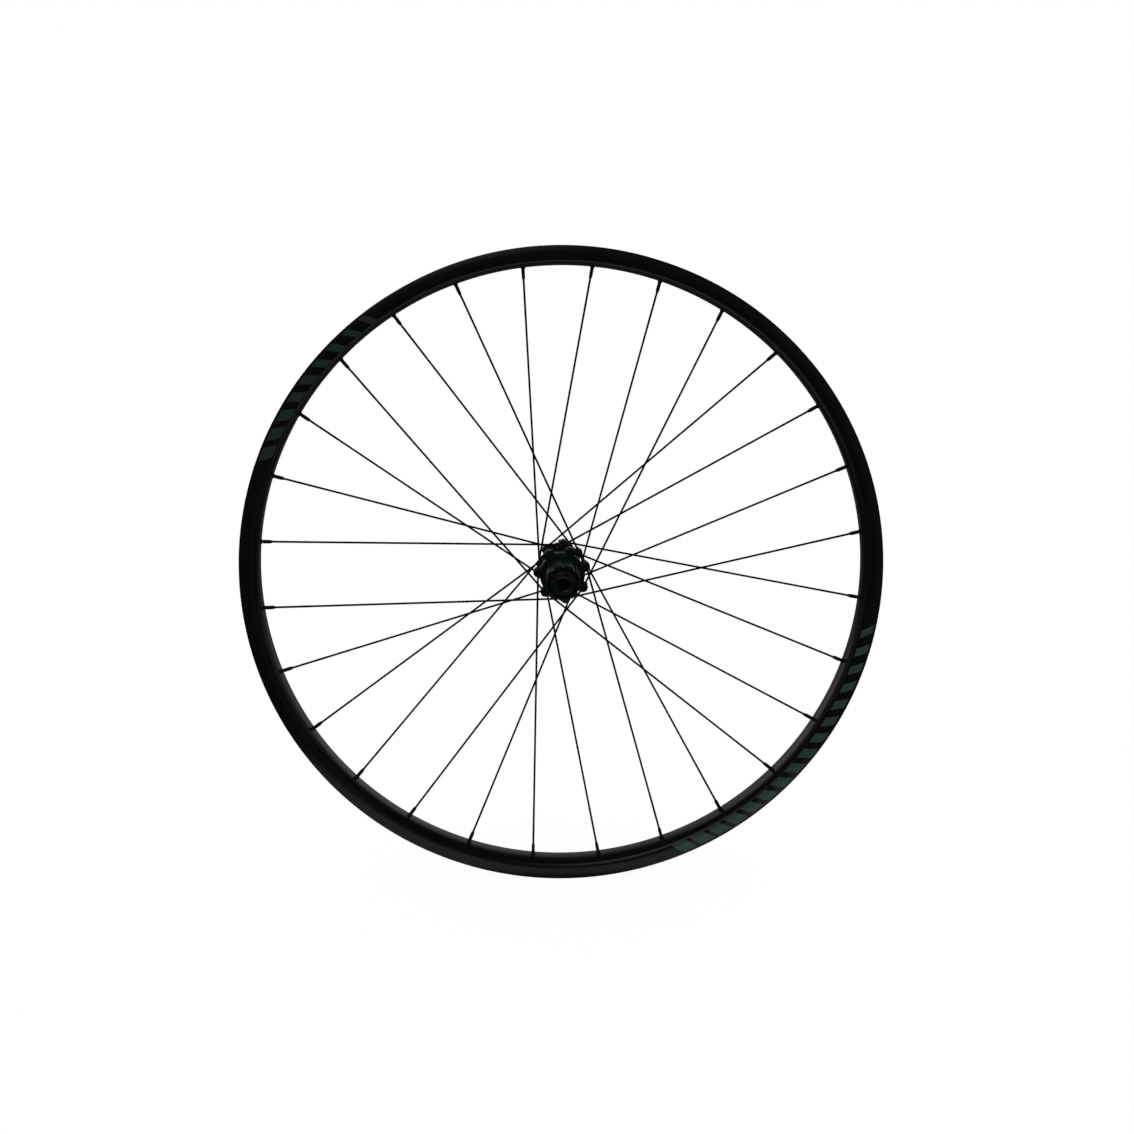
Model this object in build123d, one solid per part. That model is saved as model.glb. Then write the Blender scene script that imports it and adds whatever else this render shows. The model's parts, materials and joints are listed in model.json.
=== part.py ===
from build123d import *
import math
import os
from collections import namedtuple

# Rear bicycle wheel with a straight-pull hub, in millimetres and degrees.
# The origin is the wheel's centre and the axle lies along Y, with the drive side towards -Y and Z up.
# Angles run from X towards Z, anticlockwise when seen from the drive side.

# Rim: an extruded double-wall section, bent to a hoop
bead_seat_d = 622.0
rim_width = 35.0
rim_inner_width = 30.0
hook_height = 5.5
rim_depth = 19.0
rim_corner_r = 10.0
rim_corner_flats = 3
bead_shelf_w = 6.5
well_depth = 3.3
well_w = 12.0
floor_wall = 1.1
side_wall = 1.3
bed_wall = 1.6
cavity_chamfer = 5.0
spoke_hole_d = 5.0
access_hole_d = 8.6
valve_hole_d = 6.5

# Spokes and nipples, laced in four rows
spoke_count = 28
first_spoke_angle = 7.2
spoke_d = 2.0
spoke_sides = 8
spoke_head_d = 3.4
spoke_head_h = 1.2
spoke_clearance = 0.1
drive_outer_tangent_r = 23.8
drive_outer_inset = 3.7
drive_inner_tangent_r = 24.7
drive_row_pitch = 4.9
disc_inner_tangent_r = 19.6
disc_row_pitch = 5.2
disc_outer_tangent_r = 21.8
disc_outer_inset = 20.1
nipple_flats = 3.2
nipple_reach = 11.0
nipple_head_flats = 5.5
nipple_head_h = 2.4
nipple_seat_gap = 0.45

# Axle line, with how far each end cap stands out of the driver and the shell
over_locknut = 148.0
drive_cap_stand = 6.0
disc_cap_stand = 19.0
thru_axle_d = 12.0
thru_axle_clearance = 0.05
axle_d = 15.0
axle_shoulder_d = 18.0
cap_socket = 5.0
end_cap_d = 20.0
cap_foot_d = 18.0
shield_d = 27.0
shield_h = 2.0

# Cartridge bearings, as bore, outside diameter and width
hub_bearing_d = 28.0
hub_bearing_w = 7.0
freehub_bearing_d = 24.0
freehub_bearing_w = 5.0
bearing_gap = 0.05
spacer_d = 17.8

# Hub shell
drive_barrel_d = 42.0
disc_barrel_d = 33.0
waist_d = 26.0
waist_bearing_gap = 6.0
disc_taper_h = 18.5
shell_mouth_gap = 2.5
shell_bore_d = 22.0
lobe_w = 9.4
lobe_chamfer = 3.3
lobe_margin_y = 3.2
drive_lobe_d = 57.0
disc_lobe_d = 49.6
carrier_bearing_gap = 1.6
rotor_shoulder_d = 39.0
rotor_shoulder_h = 3.5
rotor_spline_d = 34.6
rotor_spline_depth = 0.8
rotor_spline_h = 9.0
rotor_spline_teeth = 36
rotor_thread_d = 30.0
rotor_thread_h = 4.0

# Freehub body
freehub_d = 34.6
freehub_length = 35.0
freehub_chamfer = 0.8
freehub_shoulder_d = 37.6
freehub_shoulder_gap = 0.7
spline_count = 9
spline_groove_w = 4.2
spline_key_w = 3.0
spline_depth = 1.4
lockring_thread_d = 30.0
lockring_thread_h = 5.5
freehub_bearing_inset = 2.0
carrier_d = 28.6
carrier_reach = 7.9
carrier_bore_d = 18.8
seal_w = 1.2
seal_gap = 0.3

# Ratchet: toothed ring in the shell, sprung pawls in the freehub
ratchet_ring_d = 35.0
ratchet_w = 7.2
ratchet_teeth = 36
ratchet_root_d = 31.8
ratchet_tooth_h = 1.0
pawl_count = 3
pawl_angle = 90.0
pawl_w = 5.6
pawl_side_gap = 0.2
pawl_lash = 0.5
pawl_pivot_r = 12.2
pawl_pivot_offset = 6.6
pawl_heel_d = 3.2
pawl_heel_clearance = 0.05
pawl_nose_depth = 0.6
pawl_nose_h = 2.1
pawl_room = 1.4
spring_t = 0.3

# Radii and places that follow from the sizes above
seat_r = bead_seat_d / 2
lip_r = seat_r + hook_height
bed_r = lip_r - rim_depth
well_r = seat_r - well_depth
thru_bore_r = thru_axle_d / 2 + thru_axle_clearance
axle_end = over_locknut / 2 - cap_socket
half_olw = over_locknut / 2
freehub_end = half_olw - drive_cap_stand
freehub_back = freehub_end - freehub_length
freehub_inner_bearing_y = freehub_back + freehub_bearing_inset
shell_drive_end = freehub_back - shell_mouth_gap
carrier_end = shell_drive_end - carrier_reach
drive_bearing_y = carrier_end - carrier_bearing_gap - hub_bearing_w
drive_outer_y = shell_drive_end - drive_outer_inset
drive_inner_y = drive_outer_y - drive_row_pitch
shell_disc_end = half_olw - disc_cap_stand
disc_bearing_y = shell_disc_end - rotor_thread_h - hub_bearing_w
disc_outer_y = shell_disc_end - disc_outer_inset
disc_inner_y = disc_outer_y - disc_row_pitch
spokes_per_row = spoke_count // 4
lobe_pitch = 360 / spokes_per_row
freehub_shoulder_y = -shell_drive_end - freehub_shoulder_gap
ratchet_root_r = ratchet_root_d / 2
ratchet_tip_r = ratchet_root_r - ratchet_tooth_h
ratchet_end = carrier_end - pawl_side_gap

Row = namedtuple("Row", "name tangent_r y turn first")
drive_outer = Row("drive_outer", drive_outer_tangent_r, -drive_outer_y, 1, 0)
disc_inner = Row("disc_inner", disc_inner_tangent_r, disc_inner_y, 1, 1)
drive_inner = Row("drive_inner", drive_inner_tangent_r, -drive_inner_y, -1, 2)
disc_outer = Row("disc_outer", disc_outer_tangent_r, disc_outer_y, -1, 3)
rows = [drive_outer, disc_inner, drive_inner, disc_outer]


def polar(radius, angle, y=0.0):
    """A point at a radius and angle about the axle."""
    turn = math.radians(angle)
    return Vector(radius * math.cos(turn), y, radius * math.sin(turn))


def turned(*profile):
    """A solid turned about the axle from corners given as (radius, y)."""
    return revolve(make_face(Polyline(*profile, close=True)), Axis.Y)


def ring(outer_d, inner_d, low_y, high_y):
    """A plain ring about the axle."""
    outer, inner = outer_d / 2, inner_d / 2
    return turned((inner, low_y), (outer, low_y), (outer, high_y), (inner, high_y))


def drawn(flats, low_z, high_z):
    """A wire or drill drawn along its own Z, with a few flats in place of a round, sized across them."""
    outline = RegularPolygon(flats / 2, spoke_sides, major_radius=False)
    return extrude(Pos(0, 0, low_z) * outline, amount=high_z - low_z)


def countersink(large_d, small_d, low_z, height):
    """A drawn shape that narrows from one size to another."""
    taper = math.degrees(math.atan2((large_d - small_d) / 2, height))
    outline = RegularPolygon(large_d / 2, spoke_sides, major_radius=False)
    return extrude(Pos(0, 0, low_z) * outline, amount=height, taper=taper)


def across(sketch, low_y, high_y):
    """A flat shape drawn in X and Z, carried along the axle."""
    return extrude(Plane.XZ.offset(-high_y) * sketch, amount=high_y - low_y)


def spoke_angle(row, index):
    """Where a spoke meets the rim."""
    return first_spoke_angle + (row.first + 4 * index) * 360 / spoke_count


def foot_angle(row, index):
    """Where a spoke's line comes nearest to the axle."""
    return spoke_angle(row, index) - row.turn * math.degrees(math.acos(row.tangent_r / bed_r))


def spoke_line(row, index):
    """The spoke's own plane, with Z along the spoke from its foot, and the run from foot to rim."""
    foot = polar(row.tangent_r, foot_angle(row, index), row.y)
    reach = polar(bed_r, spoke_angle(row, index)) - foot
    return Plane(origin=foot, z_dir=reach), reach.length


def foot_gap(leading, trailing):
    """The angle between the feet of the two spokes that share a flange lobe."""
    gap = foot_angle(trailing, 0) - foot_angle(leading, 0)
    return gap - lobe_pitch * round(gap / lobe_pitch)


def head_z(row):
    """Height of the spoke head's end face, flush with the side of its lobe."""
    gap = foot_gap(*((drive_outer, drive_inner) if row.y < 0 else (disc_inner, disc_outer)))
    return -lobe_w / 2 - row.tangent_r * math.sin(math.radians(abs(gap) / 2))


def make_rim():
    """The hoop: tyre channel outside, hollow box inside, drilled along each spoke's line."""
    half, inner = rim_width / 2, rim_inner_width / 2
    shelf = inner - bead_shelf_w
    corner = []
    for step in range(rim_corner_flats + 1):
        swing = math.radians(90 * step / rim_corner_flats)
        corner_y = half - rim_corner_r * (1 - math.sin(swing))
        corner.append((bed_r + rim_corner_r * (1 - math.cos(swing)), corner_y))
    side = [
        *corner,
        (lip_r, half),
        (lip_r, inner),
        (seat_r, inner),
        (seat_r, shelf),
        (well_r, well_w / 2),
    ]
    other_side = [(r, -y) for r, y in reversed(side)]
    section = make_face(Polyline(*side, *other_side, close=True))

    box_half = half - side_wall
    box_side = [
        (bed_r + bed_wall, box_half),
        (seat_r - floor_wall, box_half),
        (seat_r - floor_wall, shelf + floor_wall),
        (well_r - floor_wall, well_w / 2 + floor_wall),
    ]
    other_box_side = [(r, -y) for r, y in reversed(box_side)]
    hollow = make_face(Polyline(*box_side, *other_box_side, close=True))
    hollow = chamfer(hollow.vertices().sort_by(Axis.X)[:2], cavity_chamfer)
    hoop = revolve(section - hollow, Axis.Y)

    drills = []
    for row in rows:
        for index in range(spokes_per_row):
            line, run = spoke_line(row, index)
            box_top = run + well_r - floor_wall - bed_r
            drills.append(line * drawn(spoke_hole_d, run - bed_wall, run + 2 * bed_wall))
            drills.append(line * drawn(access_hole_d, box_top - floor_wall, box_top + 2 * well_depth))
    valve_drill = Cylinder(valve_hole_d / 2, 2 * rim_depth)
    valve_line = Plane(origin=polar(bed_r, valve_angle()), z_dir=polar(1, valve_angle()))
    drills.append(valve_line * valve_drill)
    return hoop - drills


def valve_angle():
    """Midway between two neighbouring spokes that run the same way, at the top of the wheel."""
    return (spoke_angle(drive_inner, 1) + spoke_angle(disc_outer, 1)) / 2


def make_spoke(row, index):
    """A straight-pull spoke: countersunk head at the hub, plain shank up into the nipple."""
    line, run = spoke_line(row, index)
    start = head_z(row)
    end = run + bed_wall + nipple_seat_gap + nipple_head_h / 2
    head = countersink(spoke_head_d, spoke_d, start, spoke_head_h)
    return line * (head + drawn(spoke_d, start + spoke_head_h, end))


def make_spoke_seat(row, index):
    """The drilled and countersunk hole that a spoke and its head pass through."""
    line, _ = spoke_line(row, index)
    start, head_d = head_z(row), spoke_head_d + 2 * spoke_clearance
    shank_d = spoke_d + 2 * spoke_clearance
    mouth = drawn(head_d, start - spoke_head_h, start)
    seat = countersink(head_d, shank_d, start, spoke_head_h)
    return line * (mouth + seat + drawn(shank_d, start + spoke_head_h, lobe_w))


def make_nipple(row, index):
    """Square wrench flats below the rim, hexagon head inside it, bored for the spoke."""
    line, run = spoke_line(row, index)
    tip, seat = run - nipple_reach, run + bed_wall + nipple_seat_gap
    body = extrude(Pos(0, 0, tip) * Rectangle(nipple_flats, nipple_flats), amount=seat - tip)
    hexagon = RegularPolygon(nipple_head_flats / 2, 6, major_radius=False)
    head = extrude(Pos(0, 0, seat) * hexagon, amount=nipple_head_h)
    bore = drawn(spoke_d + spoke_clearance, tip, seat + nipple_head_h)
    return line * (body + head - bore)


def flange_lobes(leading, trailing, outer_d, barrel_d):
    """The lobes of one flange, each carrying one spoke of either direction."""
    centre = foot_angle(leading, 0) + foot_gap(leading, trailing) / 2
    root = (barrel_d - lobe_w) / 2
    height = outer_d / 2 - root
    block = Rectangle(height, lobe_w)
    block = chamfer(block.vertices().sort_by(Axis.X)[2:], lobe_chamfer)
    lobe = Pos(root + height / 2, 0) * block
    lobes = Sketch() + [Rot(0, 0, centre + k * lobe_pitch) * lobe for k in range(spokes_per_row)]
    low_y = min(leading.y, trailing.y) - lobe_margin_y
    high_y = max(leading.y, trailing.y) + lobe_margin_y
    return across(lobes, low_y, high_y)


def spline_outline(root_r, tip_r, teeth):
    """A star of straight-sided teeth, with teeth and gaps equally wide."""
    pitch = 360 / teeth
    corners = []
    for k in range(teeth):
        for radius, share in ((root_r, 0.0), (root_r, 0.35), (tip_r, 0.5), (tip_r, 0.85)):
            corner = polar(radius, (k + share) * pitch)
            corners.append((corner.X, corner.Z))
    return make_face(Polyline(*corners, close=True))


def make_hub_shell():
    """The turned shell with its two lobed flanges, splined rotor mount and bearing seats."""
    drive_r, disc_r = drive_barrel_d / 2, disc_barrel_d / 2
    drive_flange_y = -drive_inner_y + lobe_margin_y
    disc_flange_y = disc_inner_y - lobe_margin_y
    spline_y = shell_disc_end - rotor_spline_h
    shell = turned(
        (0, -shell_drive_end),
        (drive_r, -shell_drive_end),
        (drive_r, drive_flange_y),
        (waist_d / 2, waist_bearing_gap - drive_bearing_y),
        (waist_d / 2, disc_flange_y - disc_taper_h),
        (disc_r, disc_flange_y),
        (disc_r, spline_y - rotor_shoulder_h),
        (rotor_shoulder_d / 2, spline_y - rotor_shoulder_h),
        (rotor_shoulder_d / 2, spline_y),
        (0, spline_y),
    )
    shell += flange_lobes(drive_outer, drive_inner, drive_lobe_d, drive_barrel_d)
    shell += flange_lobes(disc_inner, disc_outer, disc_lobe_d, disc_barrel_d)
    spline_tip = rotor_spline_d / 2
    spline = spline_outline(spline_tip - rotor_spline_depth, spline_tip, rotor_spline_teeth)
    shell += across(spline, spline_y, shell_disc_end)

    bearing_r, ring_r = hub_bearing_d / 2, ratchet_ring_d / 2
    thread_y = disc_bearing_y + hub_bearing_w
    shell -= turned(
        (0, -shell_drive_end),
        (ring_r, -shell_drive_end),
        (ring_r, -ratchet_end),
        (bearing_r, -ratchet_end),
        (bearing_r, -drive_bearing_y),
        (shell_bore_d / 2, -drive_bearing_y),
        (shell_bore_d / 2, disc_bearing_y),
        (bearing_r, disc_bearing_y),
        (bearing_r, thread_y),
        (rotor_thread_d / 2, thread_y),
        (rotor_thread_d / 2, shell_disc_end),
        (0, shell_disc_end),
    )
    return shell - [make_spoke_seat(row, k) for row in rows for k in range(spokes_per_row)]


def make_bearing(outer_d, width, low_y):
    """A sealed cartridge bearing as its two rings, which turn past each other in the middle."""
    middle_d = (outer_d + axle_d) / 2
    outer_ring = ring(outer_d, middle_d + bearing_gap, low_y, low_y + width)
    inner_ring = ring(middle_d - bearing_gap, axle_d, low_y, low_y + width)
    return outer_ring, inner_ring


def make_axle():
    """The hollow axle, with shoulders that the hub's bearings stop against."""
    small, large = axle_d / 2, axle_shoulder_d / 2
    return turned(
        (thru_bore_r, -axle_end),
        (small, -axle_end),
        (small, -drive_bearing_y),
        (large, -drive_bearing_y),
        (large, disc_bearing_y),
        (small, disc_bearing_y),
        (small, axle_end),
        (thru_bore_r, axle_end),
    )


def make_drive_end_cap():
    """Pushes onto the axle's end and presses on the outer freehub bearing's inner ring."""
    foot_y = -freehub_end + lockring_thread_h
    return turned(
        (thru_bore_r, -half_olw),
        (end_cap_d / 2, -half_olw),
        (end_cap_d / 2, -axle_end),
        (cap_foot_d / 2, -axle_end),
        (cap_foot_d / 2, foot_y),
        (axle_d / 2, foot_y),
        (axle_d / 2, -axle_end),
        (thru_bore_r, -axle_end),
    )


def make_disc_end_cap():
    """Pushes onto the axle's other end, with a shield over the hub bearing."""
    foot_y = disc_bearing_y + hub_bearing_w
    shield_y = shell_disc_end - shield_h
    return turned(
        (axle_d / 2, foot_y),
        (cap_foot_d / 2, foot_y),
        (cap_foot_d / 2, shield_y),
        (shield_d / 2, shield_y),
        (shield_d / 2, shell_disc_end),
        (end_cap_d / 2, shell_disc_end),
        (end_cap_d / 2, half_olw),
        (thru_bore_r, half_olw),
        (thru_bore_r, axle_end),
        (axle_d / 2, axle_end),
    )


def make_freehub_body():
    """The splined drum that takes the sprockets, with the pawl carrier behind its shoulder."""
    drum_r, carrier_r = freehub_d / 2, carrier_d / 2
    body = turned(
        (0, -freehub_end),
        (drum_r - freehub_chamfer, -freehub_end),
        (drum_r, -freehub_end + freehub_chamfer),
        (drum_r, -freehub_back),
        (freehub_shoulder_d / 2, -freehub_back),
        (freehub_shoulder_d / 2, freehub_shoulder_y),
        (carrier_r, freehub_shoulder_y),
        (carrier_r, -carrier_end),
        (0, -carrier_end),
    )
    seat_y = -freehub_end + lockring_thread_h
    body -= turned(
        (0, -freehub_end),
        (lockring_thread_d / 2, -freehub_end),
        (lockring_thread_d / 2, seat_y),
        (freehub_bearing_d / 2, seat_y),
        (freehub_bearing_d / 2, -freehub_inner_bearing_y),
        (carrier_bore_d / 2, -freehub_inner_bearing_y),
        (carrier_bore_d / 2, -carrier_end),
        (0, -carrier_end),
    )
    grooves = Sketch()
    for k in range(spline_count):
        width = spline_key_w if k == 0 else spline_groove_w
        groove = Pos(drum_r, 0) * Rectangle(2 * spline_depth, width)
        grooves += Rot(0, 0, pawl_angle + k * 360 / spline_count) * groove
    body -= across(grooves, -freehub_end, -freehub_back)
    pockets = Sketch() + [Rot(0, 0, angle) * pawl_pocket() for angle in pawl_angles()]
    return body - across(pockets, *pawl_span(pawl_side_gap))


def make_ratchet_ring():
    """Ring of saw teeth pressed into the shell: steep faces drive the wheel, slopes lift the pawls."""
    pitch = 360 / ratchet_teeth
    corners = []
    for k in range(ratchet_teeth):
        steep = pawl_angle + k * pitch
        for corner in (polar(ratchet_root_r, steep), polar(ratchet_tip_r, steep + pitch)):
            corners.append((corner.X, corner.Z))
    teeth = make_face(Polyline(*corners, close=True))
    return across(Circle(ratchet_ring_d / 2) - teeth, -ratchet_end - ratchet_w, -ratchet_end)


def pawl_angles():
    """Angles of the tooth faces that the pawls stand behind."""
    return [pawl_angle + k * 360 / pawl_count for k in range(pawl_count)]


def pawl_span(gap):
    """The pawls' two ends along the axle, widened by a gap."""
    middle = -ratchet_end - ratchet_w / 2
    return middle - pawl_w / 2 - gap, middle + pawl_w / 2 + gap


def pawl_pivot():
    """Pivot of a pawl whose tooth face lies on X, as (radial, tangential)."""
    return math.sqrt(pawl_pivot_r**2 - pawl_pivot_offset**2), pawl_pivot_offset


def pawl_corners():
    """The corners of the pawl's arm: nose, the point that clears the next tooth, and both heel sides."""
    nose_x = ratchet_root_r - pawl_nose_depth
    next_x = ratchet_tip_r * math.cos(math.radians(360 / ratchet_teeth)) - pawl_lash / 2
    next_y = ratchet_tip_r * math.sin(math.radians(360 / ratchet_teeth))
    pivot_x, pivot_y = pawl_pivot()
    arm = math.hypot(nose_x - pawl_nose_h / 2 - pivot_x, pivot_y - pawl_lash)
    side_x = (pivot_y - pawl_lash) / arm * pawl_heel_d / 2
    side_y = (nose_x - pawl_nose_h / 2 - pivot_x) / arm * pawl_heel_d / 2
    return [
        (nose_x, pawl_lash),
        (next_x, next_y),
        (pivot_x + side_x, pivot_y + side_y),
        (pivot_x - side_x, pivot_y - side_y),
        (nose_x - pawl_nose_h, pawl_lash),
    ]


def make_pawl(angle):
    """A rocking pawl: round heel in the freehub's pocket, nose behind a ratchet tooth."""
    heel = Pos(*pawl_pivot()) * Circle(pawl_heel_d / 2)
    arm = make_face(Polyline(*pawl_corners(), close=True))
    return across(Rot(0, 0, angle) * (heel + arm), *pawl_span(0))


def pocket_floor():
    """The pocket's floor under a pawl's arm, as its nose end and heel end."""
    *_, heel, nose = pawl_corners()
    slope = math.hypot(nose[0] - heel[0], nose[1] - heel[1])
    down_x = -(heel[1] - nose[1]) / slope
    down_y = (heel[0] - nose[0]) / slope
    nose_end = (nose[0] + pawl_room * down_x, nose[1] + pawl_room * down_y)
    heel_end = (heel[0] + 2 * spring_t * down_x, heel[1] + 2 * spring_t * down_y)
    return nose_end, heel_end


def pawl_pocket():
    """The pocket that a pawl rocks in, open to the ratchet ring."""
    nose_end, heel_end = pocket_floor()
    _, _, heel_top, heel_low, _ = pawl_corners()
    open_x = ratchet_root_r
    front_y = -pawl_lash - pawl_room / 2
    cut = make_face(
        Polyline(
            (open_x, front_y),
            (nose_end[0], front_y),
            nose_end,
            heel_end,
            heel_low,
            pawl_pivot(),
            (heel_top[0] + pawl_lash / 2, heel_top[1] + pawl_lash / 2),
            (open_x, pawl_pivot_offset / 2),
            close=True,
        )
    )
    socket = Pos(*pawl_pivot()) * Circle(pawl_heel_d / 2 + pawl_heel_clearance)
    return cut + socket


def make_pawl_spring(angle):
    """A flat leaf that stands on the pocket's floor at the heel and reaches up under the arm."""
    nose_end, heel_end = pocket_floor()
    *_, heel, nose = pawl_corners()
    tip = ((2 * nose[0] + nose_end[0]) / 3, (2 * nose[1] + nose_end[1]) / 3)
    foot = ((3 * heel_end[0] + nose_end[0]) / 4, (3 * heel_end[1] + nose_end[1]) / 4)
    length = math.hypot(tip[0] - foot[0], tip[1] - foot[1])
    off_x = (foot[1] - tip[1]) / length * spring_t
    off_y = (tip[0] - foot[0]) / length * spring_t
    tip_top = (tip[0] + off_x, tip[1] + off_y)
    foot_top = (foot[0] + off_x, foot[1] + off_y)
    leaf = make_face(Polyline(foot, tip, tip_top, foot_top, close=True))
    return across(Rot(0, 0, angle) * leaf, *pawl_span(-pawl_side_gap))


def make_freehub_seal():
    """Rubber lip ring on the carrier that closes the shell's mouth."""
    return ring(ratchet_ring_d - 2 * seal_gap, carrier_d, freehub_shoulder_y, freehub_shoulder_y + seal_w)


parts = {"rim": make_rim()}
for row in rows:
    for index in range(spokes_per_row):
        parts[f"{row.name}_spoke_{index + 1}"] = make_spoke(row, index)
parts["nipples"] = Compound([make_nipple(row, k).solid() for row in rows for k in range(spokes_per_row)])
parts["hub_shell"] = make_hub_shell()
parts["ratchet_ring"] = make_ratchet_ring()
bearings = {
    "hub_drive_bearing": (hub_bearing_d, hub_bearing_w, -drive_bearing_y - hub_bearing_w),
    "hub_disc_bearing": (hub_bearing_d, hub_bearing_w, disc_bearing_y),
    "freehub_inner_bearing": (
        freehub_bearing_d,
        freehub_bearing_w,
        -freehub_inner_bearing_y - freehub_bearing_w,
    ),
    "freehub_outer_bearing": (freehub_bearing_d, freehub_bearing_w, -freehub_end + lockring_thread_h),
}
for name, size in bearings.items():
    parts[f"{name}_outer_ring"], parts[f"{name}_inner_ring"] = make_bearing(*size)
parts["axle"] = make_axle()
parts["drive_end_cap"] = make_drive_end_cap()
parts["disc_end_cap"] = make_disc_end_cap()
parts["hub_spacer"] = ring(
    spacer_d, axle_d, -freehub_inner_bearing_y, -drive_bearing_y - hub_bearing_w
)
parts["freehub_spacer"] = ring(
    spacer_d,
    axle_d,
    -freehub_end + lockring_thread_h + freehub_bearing_w,
    -freehub_inner_bearing_y - freehub_bearing_w,
)
parts["freehub_body"] = make_freehub_body()
parts["freehub_seal"] = make_freehub_seal()
for number, angle in enumerate(pawl_angles(), start=1):
    parts[f"pawl_{number}"] = make_pawl(angle)
    parts[f"pawl_spring_{number}"] = make_pawl_spring(angle)

os.makedirs("parts", exist_ok=True)
for name, solid in parts.items():
    export_step(solid, f"parts/{name}.step")
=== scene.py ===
# %% [markdown]
# # A rear bicycle wheel
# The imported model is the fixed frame: every piece below is placed in its metres and rides on
# one of its bodies. The axle lies along Y, the drive side faces -Y, and Z is up. The arrays are
# worked out in millimetres, as on a drawing, and turned to metres when they become a mesh.

# %% Load the frame
import json
import math
from collections import namedtuple

import bmesh
import bpy
import numpy as np
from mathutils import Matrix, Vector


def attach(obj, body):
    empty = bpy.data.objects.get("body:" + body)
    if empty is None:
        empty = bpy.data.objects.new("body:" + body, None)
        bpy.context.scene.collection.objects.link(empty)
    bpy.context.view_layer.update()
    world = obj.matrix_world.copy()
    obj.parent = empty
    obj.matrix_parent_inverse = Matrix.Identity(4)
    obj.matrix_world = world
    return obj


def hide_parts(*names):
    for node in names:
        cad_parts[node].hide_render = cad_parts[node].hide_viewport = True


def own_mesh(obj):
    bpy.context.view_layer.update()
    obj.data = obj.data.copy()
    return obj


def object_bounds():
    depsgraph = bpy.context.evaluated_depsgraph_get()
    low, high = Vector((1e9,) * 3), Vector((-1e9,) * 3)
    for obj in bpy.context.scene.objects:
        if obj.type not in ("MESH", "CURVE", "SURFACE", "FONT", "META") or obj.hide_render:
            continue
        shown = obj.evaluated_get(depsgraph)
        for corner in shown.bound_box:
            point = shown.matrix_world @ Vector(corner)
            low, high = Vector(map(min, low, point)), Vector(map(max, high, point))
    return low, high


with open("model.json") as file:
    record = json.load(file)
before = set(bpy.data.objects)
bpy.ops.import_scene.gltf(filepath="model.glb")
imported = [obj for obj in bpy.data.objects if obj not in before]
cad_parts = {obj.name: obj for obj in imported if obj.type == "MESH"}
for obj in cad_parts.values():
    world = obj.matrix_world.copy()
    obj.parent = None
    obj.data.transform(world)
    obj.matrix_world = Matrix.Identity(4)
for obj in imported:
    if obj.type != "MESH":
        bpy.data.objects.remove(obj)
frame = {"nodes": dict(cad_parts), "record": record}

cad_box = [list(corner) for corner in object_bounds()]

# %% [markdown]
# ## From arrays to meshes
# A surface is a grid of points, rows by columns. Neighbouring points make quads, and a grid may
# close on itself either way, as a tube or a hoop does. Grids that meet edge to edge share the
# same points there, so merging equal points closes the seams and the poles.


# %% Quads of a grid
def quads(rows, cols, close_rows, close_cols):
    """Each quad joins a point to its neighbours one row down and one column along, and wraps
    round where the grid is closed."""
    row = np.arange(rows if close_rows else rows - 1)
    col = np.arange(cols if close_cols else cols - 1)
    a, b = np.meshgrid(row, col, indexing="ij")
    c, d = (a + 1) % rows, (b + 1) % cols
    return np.stack([a * cols + b, c * cols + b, c * cols + d, a * cols + d], -1).reshape(-1, 4)


print("a closed grid of 3 by 4 points has", len(quads(3, 4, True, True)), "quads")

# %% Grids to one mesh
MM = 0.001
# In metres: points this near are one point, and edges this short are dropped.
SAME_POINT, NO_LENGTH = 2e-6, 1e-7


def joined(name, grids):
    """One mesh from grids, each given as (points in mm, close rows, close columns). Points may
    be stacked: any axes before the last three count as more grids of the same size."""
    points, faces, start = [], [], 0
    for grid, close_rows, close_cols in grids:
        stack = np.reshape(grid, (-1, *np.shape(grid)[-3:]))
        count, rows, cols, _ = stack.shape
        first = start + np.arange(count) * rows * cols
        one_grid = quads(rows, cols, close_rows, close_cols)
        faces.append((one_grid + first[:, None, None]).reshape(-1, 4))
        points.append(stack.reshape(-1, 3))
        start += count * rows * cols
    points, faces = np.concatenate(points) * MM, np.concatenate(faces)
    mesh = bpy.data.meshes.new(name)
    mesh.vertices.add(len(points))
    mesh.vertices.foreach_set("co", points.ravel())
    mesh.loops.add(faces.size)
    mesh.loops.foreach_set("vertex_index", faces.ravel())
    mesh.polygons.add(len(faces))
    mesh.polygons.foreach_set("loop_start", np.arange(len(faces)) * 4)
    mesh.update(calc_edges=True)
    return mesh


def close_seams(mesh):
    """Merges equal points, drops edges of no length and turns the faces outwards. Returns how
    many edges are still open, which is none on a sound piece."""
    shape = bmesh.new()
    shape.from_mesh(mesh)
    bmesh.ops.remove_doubles(shape, verts=shape.verts, dist=SAME_POINT)
    bmesh.ops.dissolve_degenerate(shape, edges=shape.edges, dist=NO_LENGTH)
    bmesh.ops.recalc_face_normals(shape, faces=shape.faces)
    open_edges = sum(not edge.is_manifold for edge in shape.edges)
    shape.to_mesh(mesh)
    shape.free()
    return open_edges


print("points merge within", SAME_POINT / MM, "mm")

# %% A piece on its body
SHARP = math.radians(32)


def make_piece(name, grids, body, material, replaced=()):
    """Joins grids into one closed piece that rides on a body. Edges that bend by more than
    SHARP stay crisp, and the rest are shaded smooth."""
    mesh = joined(name, grids)
    open_edges = close_seams(mesh)
    mesh.shade_smooth()
    mesh.set_sharp_from_angle(angle=SHARP)
    mesh.materials.append(material)
    piece = bpy.data.objects.new(name, mesh)
    bpy.context.scene.collection.objects.link(piece)
    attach(piece, body)
    if replaced:
        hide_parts(*replaced)
    print(name, len(mesh.polygons), "faces,", open_edges, "open edges")
    return piece


print("edges stay crisp past", round(math.degrees(SHARP)), "degrees")

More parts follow.
